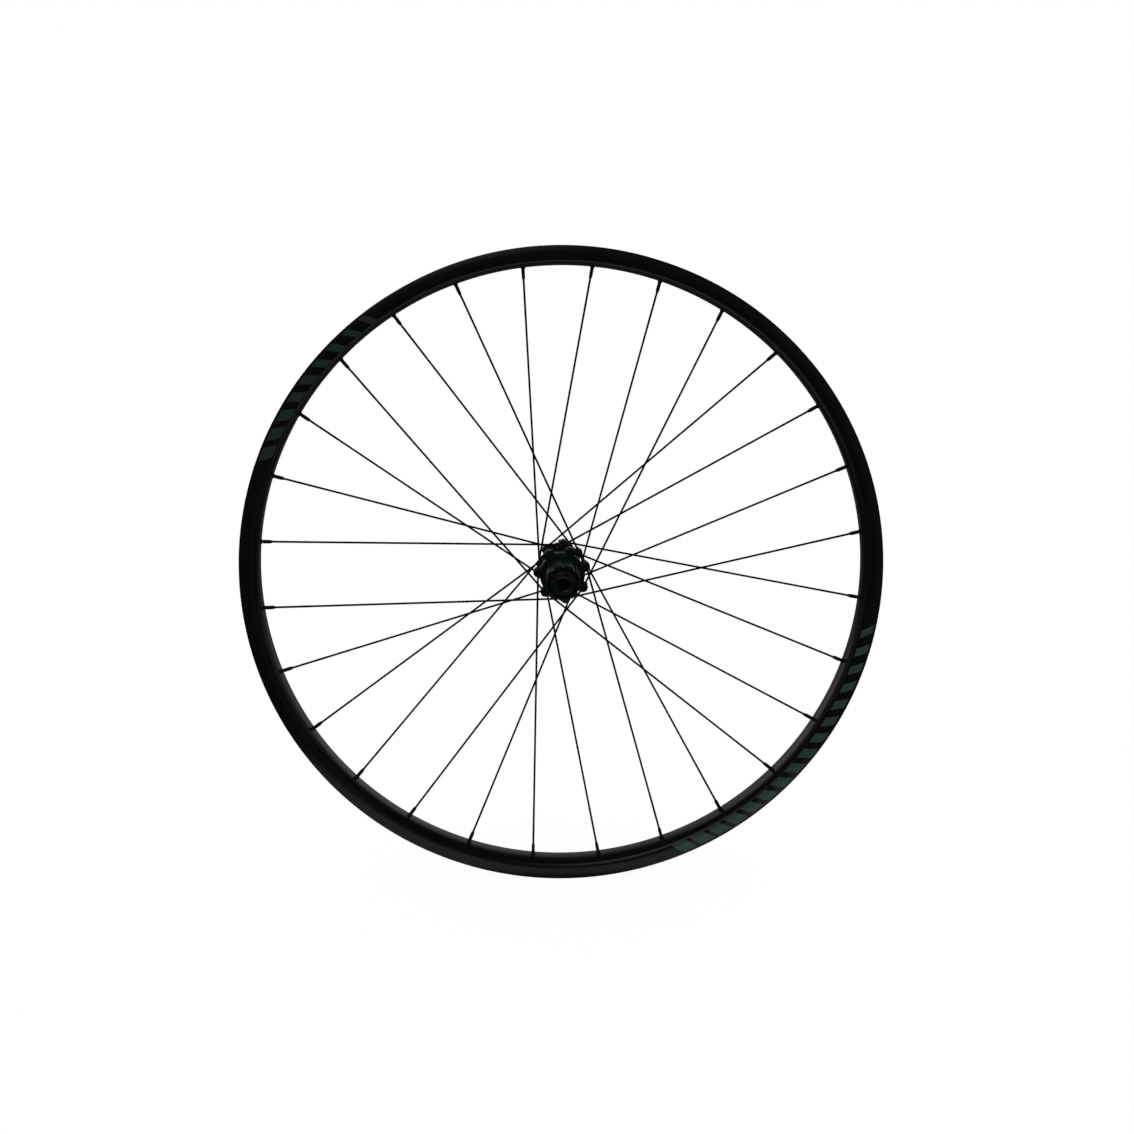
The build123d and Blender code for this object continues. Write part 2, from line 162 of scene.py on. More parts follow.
# %% [markdown]
# ## Turned shapes
# Much of a wheel is turned on a lathe, so its grid is a profile carried round the axle. The
# Screw modifier could turn a profile too, but an array gives a grid that is closed from the
# start and can be joined with others.


# %% Profiles
def turn(profile, angles):
    """A profile of (radius, y) points turned about the axle: x and z are the radius times
    cosine and sine."""
    r, y = np.asarray(profile, float).T[:, :, None]
    return np.stack([r * np.cos(angles), y + 0 * angles, r * np.sin(angles)], -1)


def arc(centre, radius, start, end, steps):
    """Points of a rounded corner in a profile: the centre plus the radius at angles from start
    to end."""
    a = np.radians(np.linspace(start, end, steps + 1))
    return np.stack([centre[0] + radius * np.cos(a), centre[1] + radius * np.sin(a)], -1)


def round_turn(steps):
    """Equal angles once round the axle."""
    return np.linspace(0, 2 * np.pi, steps, endpoint=False)


print("an arc of 4 steps has", len(arc((0, 0), 1, 0, 90, 4)), "points")

# %% [markdown]
# ## Finishes
# Nearly the whole wheel is black, and the eye tells the pieces apart only by their gloss.
# Anodised aluminium keeps the grain of what was done before dyeing, so each finish is a dark
# colour with its own roughness, a faint grain and a slight change of tone. Images could hold the
# grain, but noise at a real size in millimetres needs no file and stays sharp close up. Colours
# are written as sRGB and turned to linear by one function.


# %% Colours and nodes
def linear(colour):
    """An sRGB hex colour as linear red, green, blue and alpha: each channel by the sRGB curve."""
    channels = np.array([int(colour[k:k + 2], 16) for k in (1, 3, 5)]) / 255
    curve = np.where(channels <= 0.04045, channels / 12.92, ((channels + 0.055) / 1.055) ** 2.4)
    return (*curve.tolist(), 1.0)


def node(tree, kind, *ordered, named=None, **settings):
    """Adds a node, sets its properties, and fills its sockets with values or other outputs, in
    order or by name."""
    made = tree.nodes.new(kind)
    for key, value in settings.items():
        setattr(made, key, value)
    for key, value in {**dict(enumerate(ordered)), **(named or {})}.items():
        if isinstance(value, bpy.types.NodeSocket):
            tree.links.new(value, made.inputs[key])
        else:
            made.inputs[key].default_value = value
    return made.outputs


print("middle grey in linear light", round(linear("#808080")[0], 3))

# %% One finish
# A Mix node's sockets by the kind of data: the inputs A and B, and the output.
MIX = {"FLOAT": (2, 3, 0), "RGBA": (6, 7, 2)}
# How far the grain moves the roughness either way, and how strongly it shows as bump.
GLOSS_SWING, BUMP = 0.05, 0.5


def finish(name, colours, roughness, tone_mm, grain_mm, depth_mm,
           metallic=0.0, specular=0.3, tint="#ffffff", lathe=False):
    """A tone that drifts between two colours over tone_mm, under a grain of grain_mm that shows
    in gloss and as bump of depth_mm. On turned pieces the grain is read at (radius, y) in place
    of (x, y, z), so it becomes rings round the axle."""
    material = bpy.data.materials.new(name)
    material.use_nodes = True
    tree = material.node_tree
    shader = tree.nodes["Principled BSDF"]
    shader.inputs["Metallic"].default_value = metallic
    shader.inputs["Specular IOR Level"].default_value = specular
    shader.inputs["Specular Tint"].default_value = linear(tint)
    place = node(tree, "ShaderNodeTexCoord")["Object"]
    # A noise's scale is its patterns per metre.
    drift = node(tree, "ShaderNodeTexNoise",
                 named={"Vector": place, "Scale": 1000 / tone_mm, "Detail": 3.0})["Fac"]
    a, b, result = MIX["RGBA"]
    tone = node(tree, "ShaderNodeMix", data_type="RGBA",
                named={0: drift, a: linear(colours[0]), b: linear(colours[1])})[result]
    tree.links.new(tone, shader.inputs["Base Color"])
    if lathe:
        xyz = node(tree, "ShaderNodeSeparateXYZ", place)
        flat = node(tree, "ShaderNodeCombineXYZ", xyz["X"], xyz["Z"])[0]
        radius = node(tree, "ShaderNodeVectorMath", flat, operation="LENGTH")["Value"]
        place = node(tree, "ShaderNodeCombineXYZ", radius, xyz["Y"])[0]
    grain = node(tree, "ShaderNodeTexNoise",
                 named={"Vector": place, "Scale": 1000 / grain_mm, "Detail": 4.0})["Fac"]
    gloss = node(tree, "ShaderNodeMapRange", grain, 0.0, 1.0,
                 roughness - GLOSS_SWING, roughness + GLOSS_SWING)["Result"]
    tree.links.new(gloss, shader.inputs["Roughness"])
    bump = node(tree, "ShaderNodeBump",
                named={"Strength": BUMP, "Distance": depth_mm * MM, "Height": grain})["Normal"]
    tree.links.new(bump, shader.inputs["Normal"])
    return material


print("roughness swings by", GLOSS_SWING)

# %% Finishes of the wheel
# Bead-blasted and black-anodised extrusion: soft sheen, very dark, a grain of about half a
# millimetre.
rim_black = finish("black_anodised_rim_extrusion", ("#040504", "#080908"), roughness=0.24,
                   tone_mm=60, grain_mm=0.6, depth_mm=0.006, specular=0.24, tint="#eef2e6")
# Drawn steel wire, blackened by dipping: the darkest finish, with a dull gloss.
spoke_black = finish("black_coated_steel_wire", ("#040404", "#070707"), roughness=0.34,
                     tone_mm=20, grain_mm=0.5, depth_mm=0.006, specular=0.10)
# Small turned aluminium screws, bright-dipped before dyeing.
nipple_black = finish("black_anodised_nipple", ("#040404", "#080808"), roughness=0.30,
                      tone_mm=6, grain_mm=0.4, depth_mm=0.006, specular=0.15)
# Forged and turned hub, dyed with a cold green cast: a satin gloss with fine turning marks. The
# marks are drawn at 0.35 mm, about twice their real pitch, so that they show.
hub_black = finish("black_anodised_turned_hub", ("#040605", "#060908"), roughness=0.32,
                   tone_mm=12, grain_mm=0.35, depth_mm=0.004, specular=0.36, tint="#b2d3c9",
                   lathe=True)
# Hard-coated aluminium: greyer, finer and more even than dyed anodising.
driver_grey = finish("hard_coated_driver", ("#050808", "#090d0d"), roughness=0.36,
                     tone_mm=10, grain_mm=0.4, depth_mm=0.005, specular=0.42, tint="#a9d4ce")
# Turned caps under the same dye as the hub, with a finer surface and more gloss.
cap_black = finish("black_anodised_turned_cap", ("#040605", "#060908"), roughness=0.26,
                   tone_mm=8, grain_mm=0.30, depth_mm=0.003, specular=0.36, tint="#c4dfd6",
                   lathe=True)
# The axle's bore is only sawn and dyed: matt, so that it stays dark inside.
axle_black = finish("black_anodised_drawn_tube", ("#050606", "#080909"), roughness=0.62,
                    tone_mm=10, grain_mm=0.5, depth_mm=0.008, specular=0.08)
# Ground bearing steel, oiled: bright, with grinding rings.
bearing_steel = finish("ground_bearing_steel", ("#8f9194", "#a5a7a9"), roughness=0.22,
                       tone_mm=8, grain_mm=0.3, depth_mm=0.003, metallic=1.0, lathe=True)
# Hardened ratchet steel: darker, with the even grain of its heat treatment.
ratchet_steel = finish("hardened_tool_steel", ("#6c6d6f", "#7e8082"), roughness=0.30,
                       tone_mm=6, grain_mm=0.3, depth_mm=0.004, metallic=1.0)
# Moulded nitrile rubber: matt, with a fine bloom.
seal_rubber = finish("moulded_nitrile_rubber", ("#0b0c0c", "#121313"), roughness=0.55,
                     tone_mm=4, grain_mm=0.3, depth_mm=0.006, specular=0.20)
print("finishes", len(bpy.data.materials))

# %% [markdown]
# ## The lacing
# Twenty-eight spokes leave the hub as tangents and end at equal steps round the rim. They fall
# into four rows of seven, two for each flange, one pulling forwards and one backwards. A spoke's
# line runs from its foot, the point nearest to the axle, to its hole in the rim. Placing each
# piece by hand would let them drift apart, so head, wire, nipple and hole all follow that line.

# %% Rows of spokes
SPOKES, LOBES = 28, 7
PITCH, LOBE_STEP = 360 / SPOKES, 360 / LOBES
FIRST_HOLE = 7.2
BED_R = 297.5
LOBE_W = 9.4
# Each row: radius and y of its feet in mm, the way it pulls, and its first hole in the rim.
ROWS = {
    "drive_outer": (23.8, -26.8, 1, 0),
    "disc_inner": (19.6, 29.7, 1, 1),
    "drive_inner": (24.7, -21.9, -1, 2),
    "disc_outer": (21.8, 34.9, -1, 3),
}
# The two rows that share each flange's lobes.
FLANGES = {"drive": ("drive_outer", "drive_inner"), "disc": ("disc_inner", "disc_outer")}


def row_angles(row):
    """Angles of a row's holes, and of its feet: a hole's angle, less the arc cosine of the foot
    radius over the rim radius, by the way it pulls."""
    foot_r, _, way, first = ROWS[row]
    holes = FIRST_HOLE + (first + len(ROWS) * np.arange(LOBES)) * PITCH
    return holes, holes - way * math.degrees(math.acos(foot_r / BED_R))


def lobe(flange):
    """Angle of the first lobe that a flange's two rows share, and half the angle between their
    feet on it."""
    leading, trailing = (row_angles(row)[1][0] for row in FLANGES[flange])
    gap = trailing - leading
    gap -= LOBE_STEP * round(gap / LOBE_STEP)
    return leading + gap / 2, abs(gap) / 2


print("first lobes at", [round(lobe(flange)[0], 2) for flange in FLANGES], "degrees")

# %% Spoke lines
Lines = namedtuple("Lines", "foot along side up run head")


def spoke_lines(row):
    """Foot, unit direction and two unit sideways directions of each spoke in a row, then their
    run from foot to hole, and the height of the head along it."""
    foot_r, y, _, _ = ROWS[row]
    holes, feet = np.radians(row_angles(row))
    foot = np.stack([foot_r * np.cos(feet), np.full(LOBES, y), foot_r * np.sin(feet)], -1)
    hole = np.stack([BED_R * np.cos(holes), np.zeros(LOBES), BED_R * np.sin(holes)], -1)
    along = hole - foot
    run = np.linalg.norm(along, axis=1, keepdims=True)
    along = along / run
    side = np.cross(along, [0, 1, 0])
    side /= np.linalg.norm(side, axis=1, keepdims=True)
    half_gap = math.radians(lobe(row.split("_")[0])[1])
    head = -LOBE_W / 2 - foot_r * math.sin(half_gap)
    return Lines(foot, along, side, np.cross(along, side), float(run[0, 0]), head)


def along_spokes(row, heights, radii, angles):
    """Points round every spoke of a row: foot, plus height along the line, plus radius round
    it."""
    lines = spoke_lines(row)
    side, up = lines.side[:, None, None], lines.up[:, None, None]
    ring = np.cos(angles)[:, None] * side + np.sin(angles)[:, None] * up
    line = lines.foot[:, None] + np.asarray(heights, float)[:, None] * lines.along[:, None]
    return line[:, :, None] + np.asarray(radii, float)[..., None] * ring


for row in ROWS:
    lines = spoke_lines(row)
    print(row, "run", round(lines.run, 2), "head at", round(lines.head, 2))

# %% [markdown]
# ## The rim
# The hoop is a hollow extrusion: a rounded bed towards the hub, two slightly bulged side walls
# with rolled lips, and a channel for the tyre with a shelf each side of a shallow well. Sweeping
# the section round is easy, but the bed and the well are drilled: a small hole for each nipple,
# a large one above it to put the nipple in, and one for the valve. Cutting holes afterwards
# leaves ragged shading, so those strips are made from patches instead. A drilled patch is a ring
# of quads that grows from the hole's circle to the patch's square edge.

# %% Skins of the rim
# Radius and half width at the rim's widest line, then the depth, power and wall of the bed.
WIDE_R, WIDE_HALF = 309.5, 17.5
BED_DEPTH, BED_POWER, BED_WALL = 12.0, 3.0, 1.6
WELL_R, WELL_UNDER_R = 307.7, 306.6


def bed(y):
    """Radius of the bed's outer skin: a squarish half ellipse, as wide as the rim and BED_DEPTH
    deep, with BED_POWER in place of squares."""
    return WIDE_R - BED_DEPTH * (1 - (np.abs(y) / WIDE_HALF) ** BED_POWER) ** (1 / BED_POWER)


def bed_inside(y):
    """Radius of the bed's inner skin, one wall thickness above the outer one."""
    return bed(y) + BED_WALL


def well(y):
    """Radius of the well's floor, which is level."""
    return WELL_R + 0 * y


def well_inside(y):
    """Radius of the well's underside, which is level too."""
    return WELL_UNDER_R + 0 * y


print("bed at the middle", bed(0.0), "mm from the axle")

# %% The rim's section
# Half widths of the drilled strips: both skins of the bed, then both skins of the well.
BED_HALF, BED_INSIDE_HALF, WELL_HALF, WELL_UNDER_HALF = 7.5, 11.2, 6.0, 7.1
# Radius of the side wall's bulge, and points along the bed's rounded corner.
BULGE_R, CORNER_POINTS = 28.0, 15


def rim_side():
    """Half of the outer skin from the bed's edge to the well's edge, as (radius, y): the rest of
    the bed's ellipse out to the widest point, a slow arc to the lip, then the lip, the shelf and
    the well's slope."""
    start = math.asin((BED_HALF / WIDE_HALF) ** (BED_POWER / 2))
    share = np.linspace(start, np.pi / 2, CORNER_POINTS)
    crown = np.stack([WIDE_R - BED_DEPTH * np.cos(share).clip(0) ** (2 / BED_POWER),
                      WIDE_HALF * np.sin(share) ** (2 / BED_POWER)], -1)
    tilt = np.radians([3, 6, 9, 11])
    wall = np.stack([WIDE_R + BULGE_R * np.sin(tilt),
                     BULGE_R * np.cos(tilt) - (BULGE_R - WIDE_HALF)], -1)
    outer_lip = arc((315.5, 16.0), 1.0, 70, 0, 4)
    inner_lip = arc((315.9, 15.6), 0.6, 0, -90, 3)
    shelf_root = arc((311.7, 14.3), 0.7, 90, 180, 3)
    shelf_edge = arc((310.2, 9.1), 0.8, 0, -53, 3)
    well_edge = [(308.0, 6.25), (WELL_R, WELL_HALF)]
    return np.concatenate([crown, wall, outer_lip, inner_lip, shelf_root, shelf_edge, well_edge])


# Half of the hollow inside, from the well's underside round to the bed's inner skin.
BOX_SIDE = np.array([
    (WELL_UNDER_R, WELL_UNDER_HALF), (309.9, 9.6), (309.9, 16.2), (306.0, 16.0), (303.2, 14.4),
    (bed_inside(BED_INSIDE_HALF), BED_INSIDE_HALF),
])
print("rim section", len(rim_side()), "points a side")

# %% Columns round the hoop
# Half a drilled patch along the well's floor, in mm and as an angle, then the steps along a
# patch and along the gap beside it.
PATCH_HALF = 8
PATCH = math.degrees(PATCH_HALF / WELL_R)
SQUARE_STEPS, GAP_STEPS = 8, 5
HOLES = FIRST_HOLE + np.arange(SPOKES) * PITCH
MIDDLES = HOLES + PITCH / 2
STEPS = np.concatenate([
    np.linspace(-PATCH, PATCH, SQUARE_STEPS + 1)[:-1],
    np.linspace(PATCH, PITCH / 2 - PATCH, GAP_STEPS + 1)[:-1],
    np.linspace(PITCH / 2 - PATCH, PITCH / 2 + PATCH, SQUARE_STEPS + 1)[:-1],
    np.linspace(PITCH / 2 + PATCH, PITCH - PATCH, GAP_STEPS + 1)[:-1],
])
COLUMNS = np.radians((HOLES[:, None] + STEPS).ravel())
print("columns round the hoop", len(COLUMNS))

# %% Patches
# Points round a hole, as many as round its square, and circles of points from one to the other.
RING, RINGS = 4 * SQUARE_STEPS, 5


def on_hoop(skin, centre, along, y):
    """A point of a strip: its angle is the patch's centre plus the length along the hoop over
    the radius at the middle, and its radius is the skin's at y."""
    a, y = np.broadcast_arrays(np.radians(centre) + along / skin(0.0), y)
    return np.stack([skin(y) * np.cos(a), y, skin(y) * np.sin(a)], -1)


def hole_ring(skin, centre, offset, hole_r):
    """The hole's circle, moved along the hoop and across it by the drill's slant."""
    a = round_turn(RING)
    along, across = offset[0][:, None], offset[1][:, None]
    return on_hoop(skin, centre[:, None], along + hole_r * np.cos(a), across + hole_r * np.sin(a))


def square_edge(turned_by):
    """One coordinate of the square's edge at each point of the ring, from -1 to 1: level along
    two sides and in equal steps along the others."""
    far = np.abs((np.arange(RING) + turned_by) % RING - RING // 2)
    return np.clip(far / (-SQUARE_STEPS / 2) + 2, -1, 1)


def drilled_patch(skin, half_w, centre, offset, hole_r):
    """Each point goes from the hole's circle to the square's edge in equal shares."""
    a = round_turn(RING)
    share = np.linspace(0, 1, RINGS)[:, None]
    reach = skin(0.0) * math.radians(PATCH)
    along, across = offset[0][:, None, None], offset[1][:, None, None]
    s = (1 - share) * (along + hole_r * np.cos(a)) + share * square_edge(RING // 2) * reach
    y = (1 - share) * (across + hole_r * np.sin(a)) + share * square_edge(RING // 4) * half_w
    return on_hoop(skin, centre[:, None, None], s, y)


def plain_patch(skin, half_w, centre, start, end, steps):
    """A grid over part of a strip, from start to end degrees past each centre."""
    a = np.radians(np.linspace(start, end, steps + 1))[:, None] * skin(0.0)
    across = np.linspace(-half_w, half_w, SQUARE_STEPS + 1)
    return on_hoop(skin, centre[:, None, None], a, across)


print("a hole has", RING, "points round it")

# %% Drilled strips
# The valve stands square to the rim, in the seventh gap, between spokes that pull the same way.
VALVE_R, VALVE = 3.25, MIDDLES[6:7]
UPRIGHT = (np.zeros(1), np.zeros(1))


def drill_slant(radius):
    """How far each spoke's line has moved along and across the hoop where it reaches a radius."""
    along, across = np.zeros(SPOKES), np.zeros(SPOKES)
    for foot_r, y, way, first in ROWS.values():
        lean = math.asin(foot_r / BED_R)
        along[first::len(ROWS)] = way * math.tan(lean) * (radius - BED_R)
        across[first::len(ROWS)] = -y * (radius - BED_R) / (BED_R * math.cos(lean) ** 2)
    return along, across


def strip(skin, half_w, hole_r):
    """One drilled strip: a ring at each spoke and at the valve, grids between them."""
    gap_end = PITCH / 2 - PATCH
    plain = MIDDLES[MIDDLES != VALVE]
    return [
        (drilled_patch(skin, half_w, HOLES, drill_slant(skin(0.0)), hole_r), False, True),
        (drilled_patch(skin, half_w, VALVE, UPRIGHT, VALVE_R), False, True),
        (plain_patch(skin, half_w, plain, -PATCH, PATCH, SQUARE_STEPS), False, False),
        (plain_patch(skin, half_w, HOLES, PATCH, gap_end, GAP_STEPS), False, False),
        (plain_patch(skin, half_w, MIDDLES, PATCH, gap_end, GAP_STEPS), False, False),
    ]


def hole_walls(low_skin, high_skin, hole_r):
    """The wall of each hole, from its circle on one skin to its circle on the other."""
    skins = (low_skin, high_skin)
    spoke = [hole_ring(skin, HOLES, drill_slant(skin(0.0)), hole_r) for skin in skins]
    stem = [hole_ring(skin, VALVE, UPRIGHT, VALVE_R) for skin in skins]
    return [(np.stack(spoke, 1), False, True), (np.stack(stem, 1), False, True)]


print("valve hole at", np.round(VALVE, 2), "degrees")

# %% [markdown]
# ## Print on the rim
# A silk-screened run of slanted bars in dark teal-grey lacquer shows only by its colour and
# gloss. It needs no image: a bar's place is the length along the hoop, less the height on the
# wall times the slant, and the bars grow thinner from one end of the run to the other.

# %% Print the rim
INK, INK_ROUGHNESS = linear("#243331"), 0.20
# In metres: the radius that lengths are measured at, and the wall's printed band by the least
# distance from the middle plane, its middle radius and half its height.
PRINT_R, PRINT_Y, BAND_R, BAND_HALF = 0.309, -0.0145, 0.3085, 0.0055
# How far a bar leans along the hoop for each length it rises.
LEAN = 0.75
# Each run of bars: middle angle, number of bars, pitch in mm, the inked share of the first and
# last pitch, and the strength of the ink: full on the lower-right run, and half on the upper-left
# run, where the fainter print is painted shade.
RUNS = ((-38.0, 16, 20.0, 0.80, 0.40, 1.0), (143.0, 9, 20.0, 0.34, 0.72, 0.5))


def print_bars(material):
    """Ink where the place along a run, in pitches, has a remainder below the inked share, on
    the near wall only."""
    tree = material.node_tree
    shader = tree.nodes["Principled BSDF"]
    xyz = node(tree, "ShaderNodeSeparateXYZ", node(tree, "ShaderNodeTexCoord")["Object"])
    angle = node(tree, "ShaderNodeMath", xyz["Z"], xyz["X"], operation="ARCTAN2")[0]
    flat = node(tree, "ShaderNodeCombineXYZ", xyz["X"], xyz["Z"])[0]
    radius = node(tree, "ShaderNodeVectorMath", flat, operation="LENGTH")["Value"]
    slant = node(tree, "ShaderNodeMath", radius, -LEAN, PRINT_R * LEAN,
                 operation="MULTIPLY_ADD")[0]
    along = node(tree, "ShaderNodeMath", angle, PRINT_R, slant, operation="MULTIPLY_ADD")[0]
    near = node(tree, "ShaderNodeMath", xyz["Y"], PRINT_Y, operation="LESS_THAN")[0]
    band = node(tree, "ShaderNodeMath", radius, BAND_R, BAND_HALF, operation="COMPARE")[0]
    wall = node(tree, "ShaderNodeMath", near, band, operation="MULTIPLY")[0]
    inked = 0.0
    for middle, bars, pitch, first, last, ink_strength_and_shade in RUNS:
        length = bars * pitch * MM
        start = math.radians(middle) * PRINT_R - length / 2
        place = node(tree, "ShaderNodeMapRange", along, start, start + length, 0.0, bars,
                     clamp=False)[0]
        share = node(tree, "ShaderNodeMapRange", place, 0.0, bars, first, last)[0]
        rest = node(tree, "ShaderNodeMath", place, operation="FRACT")[0]
        bar = node(tree, "ShaderNodeMath", rest, share, operation="LESS_THAN")[0]
        inside = node(tree, "ShaderNodeMath", place, bars / 2, bars / 2, operation="COMPARE")[0]
        # The ink's strength: the half-strength run at the upper left is painted shade.
        layer = node(tree, "ShaderNodeMath", inside, ink_strength_and_shade, operation="MULTIPLY")[0]
        inked = node(tree, "ShaderNodeMath", bar, layer, inked, operation="MULTIPLY_ADD")[0]
    mask = node(tree, "ShaderNodeMath", wall, inked, operation="MULTIPLY")[0]
    for socket, ink, kind in (("Base Color", INK, "RGBA"), ("Roughness", INK_ROUGHNESS, "FLOAT")):
        a, b, result = MIX[kind]
        bare = shader.inputs[socket].links[0].from_socket
        mixed = node(tree, "ShaderNodeMix", named={0: mask, a: bare, b: ink}, data_type=kind)
        tree.links.new(mixed[result], shader.inputs[socket])


print_bars(rim_black)
print("printed runs", len(RUNS))

# %% Make the rim
NIPPLE_HOLE_R, ACCESS_HOLE_R = 2.5, 4.3
MIRROR = np.array([1, -1])
rim_half = rim_side()
rim_grids = [(turn(half, COLUMNS), False, True)
             for half in (rim_half, rim_half * MIRROR, BOX_SIDE, BOX_SIDE * MIRROR)]
rim_grids += strip(bed, BED_HALF, NIPPLE_HOLE_R)
rim_grids += strip(bed_inside, BED_INSIDE_HALF, NIPPLE_HOLE_R)
rim_grids += strip(well, WELL_HALF, ACCESS_HOLE_R)
rim_grids += strip(well_inside, WELL_UNDER_HALF, ACCESS_HOLE_R)
rim_grids += hole_walls(bed, bed_inside, NIPPLE_HOLE_R)
rim_grids += hole_walls(well_inside, well, ACCESS_HOLE_R)
make_piece("rim_hoop", rim_grids, "wheel", rim_black, ["rim"])

# %% [markdown]
# ## Spokes and nipples
# A straight-pull spoke has a countersunk head instead of a bend. It is drawn thinner in the
# middle than at its ends, which saves weight and lets it stretch. The nipple is a small screw:
# square flats for the wrench below the rim, a round neck through the hole and a hexagon head
# inside the hoop. A bevelled curve could draw the wire, but not its head or the flats. Each is a
# radius that changes along the spoke's line, so one function of height and angle makes them all.

# %% Make the spokes
WIRE_TURN = round_turn(20)
# How far the wire goes past the bed, in mm.
PAST_BED = 3.2
for row in ROWS:
    lines = spoke_lines(row)
    head, run = lines.head, lines.run
    end = run + PAST_BED
    # Height along the spoke's line and radius, from the head to the end in the nipple.
    profile = np.array([
        (head - 0.35, 0.0), (head - 0.35, 0.9), (head - 0.25, 1.45), (head, 1.7),
        (head + 0.15, 1.7), (head + 1.2, 1.1), (head + 1.7, 1.05), (head + 16, 1.05),
        (head + 24, 1.0), (run - 52, 1.0), (run - 44, 1.05), (end - 0.2, 1.05),
        (end, 0.8), (end, 0.0),
    ])
    tubes = along_spokes(row, profile[:, 0], profile[:, 1:], WIRE_TURN)
    make_piece(f"{row}_spokes", [(tubes, False, True)], "wheel", spoke_black,
               [f"{row}_spoke_{k}" for k in range(1, LOBES + 1)])


# %% Make the nipples
def flats(half, sides, sharpness, angles):
    """Radius of a rounded prism: half its width over the largest cosine to a flat, softened by
    a power mean."""
    faces = np.cos(angles[:, None] - 2 * np.pi * np.arange(sides) / sides).clip(0)
    return half / (faces ** sharpness).sum(1) ** (1 / sharpness)


# The tilted head needs this much room over the bed on the spoke's line, in mm.
SEAT_GAP = 0.45
NIPPLE_TURN = round_turn(36)
square = flats(half=1.65, sides=4, sharpness=14, angles=NIPPLE_TURN)
hexagon = flats(half=2.7, sides=6, sharpness=22, angles=NIPPLE_TURN)
nipple_grids = []
for row in ROWS:
    run = spoke_lines(row).run
    seat = run + BED_WALL + SEAT_GAP
    # Height along the spoke's line and radius: rounded tip, square flats, neck and head.
    shape = [
        (run - 11.0, 0.80), (run - 11.0, 1.22), (run - 10.8, 1.42), (run - 10.2, 1.55),
        (run - 9.2, 1.58), (run - 8.9, square), (run - 2.6, square), (run - 1.6, 1.75),
        (run - 0.5, 2.25), (run + 0.1, 2.4), (seat - 0.05, 2.4), (seat, hexagon),
        (seat + 1.9, hexagon), (seat + 2.4, 0.88 * hexagon), (seat + 2.4, 0.80),
    ]
    heights = [height for height, _ in shape]
    radii = np.stack([radius + 0 * NIPPLE_TURN for _, radius in shape])
    nipple_grids.append((along_spokes(row, heights, radii, NIPPLE_TURN), True, True))
make_piece("spoke_nipples", nipple_grids, "wheel", nipple_black, ["nipples"])

# %% [markdown]
# ## The hub shell
# The shell is turned from a forging: a large barrel on the drive side for the ratchet, a slim
# waist and a smaller barrel on the brake side. Each flange has seven lobes, and each lobe holds
# two spokes. The barrel is a profile turned about the axle. A flange is an outline carried along
# the axle, pulled in a little at both faces so that its edge is rounded. Cutting lobes out of a
# disc would leave that edge to a bevel, which is uneven in the tight roots. The splined seat for
# the brake rotor is made as the flanges are.


# %% Outline of a flange
def lobed_outline(centre, gap_r, outer_r, fillet_r):
    """One lobe's outline in turn: gap arc, root fillet, flank and round end, then the same
    mirrored. The lobe is repeated round the axle."""
    half = LOBE_W / 2
    root_y = half + fillet_r
    root_x = math.sqrt((gap_r + fillet_r) ** 2 - root_y ** 2)
    touch = math.degrees(math.atan2(root_y, root_x))
    gap = arc((0, 0), gap_r, LOBE_STEP / 2, touch, 5)[:-1]
    fillet = arc((root_x, root_y), fillet_r, 180 + touch, 270, 7)
    end = arc((outer_r - half, 0), half, 90, 0, 10)
    one_side = np.concatenate([gap, fillet, end])
    whole = np.concatenate([one_side * MIRROR, one_side[-2:0:-1]])
    a = np.radians(centre + np.arange(LOBES) * LOBE_STEP)[:, None]
    x = whole[:, 0] * np.cos(a) - whole[:, 1] * np.sin(a)
    z = whole[:, 0] * np.sin(a) + whole[:, 1] * np.cos(a)
    return np.stack([x.ravel(), z.ravel()], -1)


drive_flange = lobed_outline(lobe("drive")[0], gap_r=22.0, outer_r=28.5, fillet_r=2.8)
disc_flange = lobed_outline(lobe("disc")[0], gap_r=16.9, outer_r=24.8, fillet_r=3.2)
print("flange outlines", len(drive_flange), "and", len(disc_flange), "points")

# %% Outline of the rotor spline
# Two points on the root and four on the tip of a tooth, by their share of the pitch.
TOOTH = np.array([0.02, 0.33, 0.5, 0.52, 0.83, 0.85])
TIP_CHAMFER = 0.1


def toothed_outline(root_r, tip_r, teeth):
    """Straight-sided teeth: each point of TOOTH at the root or tip radius, with the tip's two
    corners chamfered."""
    share = (np.arange(teeth)[:, None] + TOOTH) * 2 * np.pi / teeth
    corner_r = tip_r - TIP_CHAMFER
    radius = np.tile([root_r, root_r, corner_r, tip_r, tip_r, corner_r], teeth)
    return np.stack([radius * np.cos(share.ravel()), radius * np.sin(share.ravel())], -1)


rotor_spline = toothed_outline(root_r=16.5, tip_r=17.3, teeth=36)
print("spline outline", len(rotor_spline), "points")


# %% Rings and curves
def carried(outline, inner_r, low_y, high_y, ease):
    """A ring of this outline between two heights: each row is the outline moved in along its
    normal, and the first and last row lie on a circle of inner_r."""
    along = np.roll(outline, -1, 0) - np.roll(outline, 1, 0)
    normal = np.stack([-along[:, 1], along[:, 0]], -1)
    normal /= np.linalg.norm(normal, axis=1, keepdims=True)
    normal *= np.sign((normal * outline).sum(1).mean())
    core = outline * (inner_r / np.linalg.norm(outline, axis=1, keepdims=True))
    quarter = np.radians(np.linspace(90, 0, 5))
    inset = ease * (1 - np.cos(quarter))
    rise = ease * (1 - np.sin(quarter))
    inset = np.append(inset, inset[::-1])
    rows = np.stack([core, *(outline - i * normal for i in inset), core])
    height = np.array([low_y, *(low_y + rise), *(high_y - rise[::-1]), high_y])
    height = np.broadcast_to(height[:, None], rows.shape[:2])
    return np.stack([rows[..., 0], height, rows[..., 1]], -1)


def eased(start, end, steps):
    """A curve between two points of a profile, level at both ends: the radius by a cosine, y in
    equal steps."""
    share = np.linspace(0, 1, steps + 1)
    return np.stack([start[0] + (end[0] - start[0]) * (1 - np.cos(np.pi * share)) / 2,
                     start[1] + (end[1] - start[1]) * share], -1)


